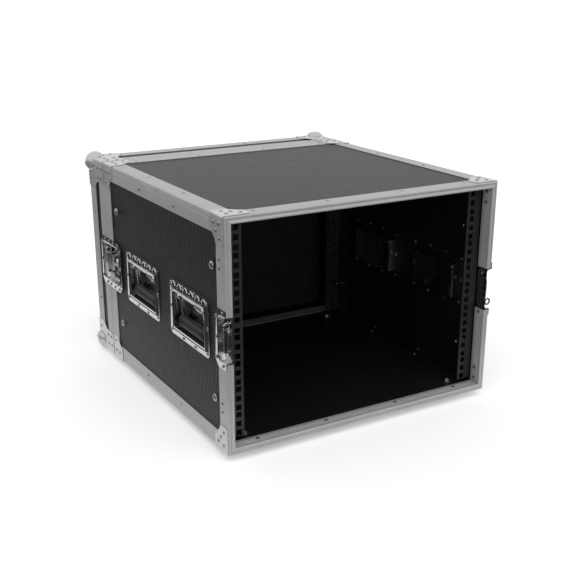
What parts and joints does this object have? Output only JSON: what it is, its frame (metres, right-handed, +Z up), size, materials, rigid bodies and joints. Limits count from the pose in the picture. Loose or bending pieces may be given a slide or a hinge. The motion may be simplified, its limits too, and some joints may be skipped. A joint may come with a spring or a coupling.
{
  "type": "equipment rack case",
  "caption": "Portable rack case for stage equipment: laminated plywood body with aluminium edges, open front with rack rails, spring handles and a latched lift-off rear lid.",
  "frame": {"origin": "centre of the footprint, on the floor under the feet", "axes": "+X to the right seen from the open front, +Y from the open front to the rear lid, +Z up"},
  "size_m": [0.548, 0.6, 0.413],
  "materials": {
    "laminated_plywood": "black textured laminate on 9 mm plywood, satin",
    "extruded_aluminium": "brushed and clear anodised, fine grooves along the length",
    "plated_steel": "bright zinc or chrome plate, lightly handled",
    "black_rail_steel": "black powder coat, satin",
    "handle_grip": "black moulded grip on a plated steel bail",
    "foot_rubber": "matt black rubber",
    "lid_foam": "black foam lining, matt"
  },
  "bodies": {
    "case_body": {"body_joint_frame": "extruded_aluminium", "bottom_panel": "laminated_plywood", "corner_brace_front_bottom_left": "plated_steel", "corner_brace_front_bottom_right": "plated_steel", "corner_brace_front_top_left": "plated_steel", "corner_brace_front_top_right": "plated_steel", "corner_brace_rear_bottom_left": "plated_steel", "corner_brace_rear_bottom_right": "plated_steel", "corner_brace_rear_top_left": "plated_steel", "corner_brace_rear_top_right": "plated_steel", "edge_angle_bottom_left": "extruded_aluminium", "edge_angle_bottom_right": "extruded_aluminium", "edge_angle_top_left": "extruded_aluminium", "edge_angle_top_right": "extruded_aluminium", "foot_front_left": "foot_rubber", "foot_front_right": "foot_rubber", "foot_rear_left": "foot_rubber", "foot_rear_right": "foot_rubber", "front_frame_bottom": "extruded_aluminium", "front_frame_left_lower": "extruded_aluminium", "front_frame_left_upper": "extruded_aluminium", "front_frame_right_lower": "extruded_aluminium", "front_frame_right_upper": "extruded_aluminium", "front_frame_top": "extruded_aluminium", "front_strike_left": "plated_steel", "front_strike_right": "plated_steel", "handle_dish_front_left": "plated_steel", "handle_dish_front_right": "plated_steel", "handle_dish_rear_left": "plated_steel", "handle_dish_rear_right": "plated_steel", "latch_dish_left": "plated_steel", "latch_dish_right": "plated_steel", "left_panel": "laminated_plywood", "rack_rail_front_left": "black_rail_steel", "rack_rail_front_right": "black_rail_steel", "rack_rail_rear_left": "black_rail_steel", "rack_rail_rear_right": "black_rail_steel", "right_panel": "laminated_plywood", "top_panel": "laminated_plywood"},
    "handle_front_left": {"handle_grip_front_left": "handle_grip"},
    "handle_front_right": {"handle_grip_front_right": "handle_grip"},
    "handle_rear_left": {"handle_grip_rear_left": "handle_grip"},
    "handle_rear_right": {"handle_grip_rear_right": "handle_grip"},
    "latch_hook_left": {"latch_hook_left": "plated_steel"},
    "latch_hook_right": {"latch_hook_right": "plated_steel"},
    "latch_rotor_left": {"latch_rotor_left": "plated_steel"},
    "latch_rotor_right": {"latch_rotor_right": "plated_steel"},
    "latch_wing_left": {"latch_wing_left": "plated_steel"},
    "latch_wing_right": {"latch_wing_right": "plated_steel"},
    "rear_lid": {"lid_back_panel": "laminated_plywood", "lid_corner_bottom_left": "plated_steel", "lid_corner_bottom_right": "plated_steel", "lid_corner_top_left": "plated_steel", "lid_corner_top_right": "plated_steel", "lid_edge_frame": "extruded_aluminium", "lid_foam": "lid_foam", "lid_joint_frame": "extruded_aluminium", "lid_strike_left": "plated_steel", "lid_strike_right": "plated_steel", "lid_walls": "laminated_plywood"}
  },
  "joints": [
    {"name": "handle_front_right_lift", "type": "hinge", "parent": "case_body", "child": "handle_front_right", "pos_m": [0.25725, -0.16204, 0.229], "axis": [0, -1, 0], "range_deg": [0, 90], "stiffness_Nm_per_rad": 0.2, "springref_deg": -28.65},
    {"name": "handle_front_left_lift", "type": "hinge", "parent": "case_body", "child": "handle_front_left", "pos_m": [-0.25725, -0.16204, 0.229], "axis": [0, 1, 0], "range_deg": [0, 90], "stiffness_Nm_per_rad": 0.2, "springref_deg": -28.65},
    {"name": "handle_rear_right_lift", "type": "hinge", "parent": "case_body", "child": "handle_rear_right", "pos_m": [0.25725, 0.03874, 0.229], "axis": [0, -1, 0], "range_deg": [0, 90], "stiffness_Nm_per_rad": 0.2, "springref_deg": -28.65},
    {"name": "handle_rear_left_lift", "type": "hinge", "parent": "case_body", "child": "handle_rear_left", "pos_m": [-0.25725, 0.03874, 0.229], "axis": [0, 1, 0], "range_deg": [0, 90], "stiffness_Nm_per_rad": 0.2, "springref_deg": -28.65},
    {"name": "latch_right_twist", "type": "hinge", "parent": "case_body", "child": "latch_rotor_right", "pos_m": [0.259, 0.176, 0.208], "axis": [1, 0, 0], "range_deg": [0, 180]},
    {"name": "latch_right_wing_fold", "type": "hinge", "parent": "latch_rotor_right", "child": "latch_wing_right", "pos_m": [0.2613, 0.176, 0.208], "axis": [0, 1, 0], "range_deg": [0, 90]},
    {"name": "latch_right_hook_travel", "type": "slide", "parent": "case_body", "child": "latch_hook_right", "axis": [0, 1, 0], "range_m": [0, 0.008]},
    {"name": "latch_left_twist", "type": "hinge", "parent": "case_body", "child": "latch_rotor_left", "pos_m": [-0.259, 0.176, 0.208], "axis": [-1, 0, 0], "range_deg": [0, 180]},
    {"name": "latch_left_wing_fold", "type": "hinge", "parent": "latch_rotor_left", "child": "latch_wing_left", "pos_m": [-0.2613, 0.176, 0.208], "axis": [0, 1, 0], "range_deg": [0, 90]},
    {"name": "latch_left_hook_travel", "type": "slide", "parent": "case_body", "child": "latch_hook_left", "axis": [0, 1, 0], "range_m": [0, 0.008]},
    {"name": "rear_lid_draw", "type": "slide", "parent": "case_body", "child": "rear_lid", "axis": [0, 1, 0], "range_m": [0, 0.15]}
  ],
  "couplings": [
    {"joint": "latch_right_hook_travel", "follows": "latch_right_twist", "m_per_rad": 0.002546},
    {"joint": "latch_left_hook_travel", "follows": "latch_left_twist", "m_per_rad": 0.002546}
  ]
}
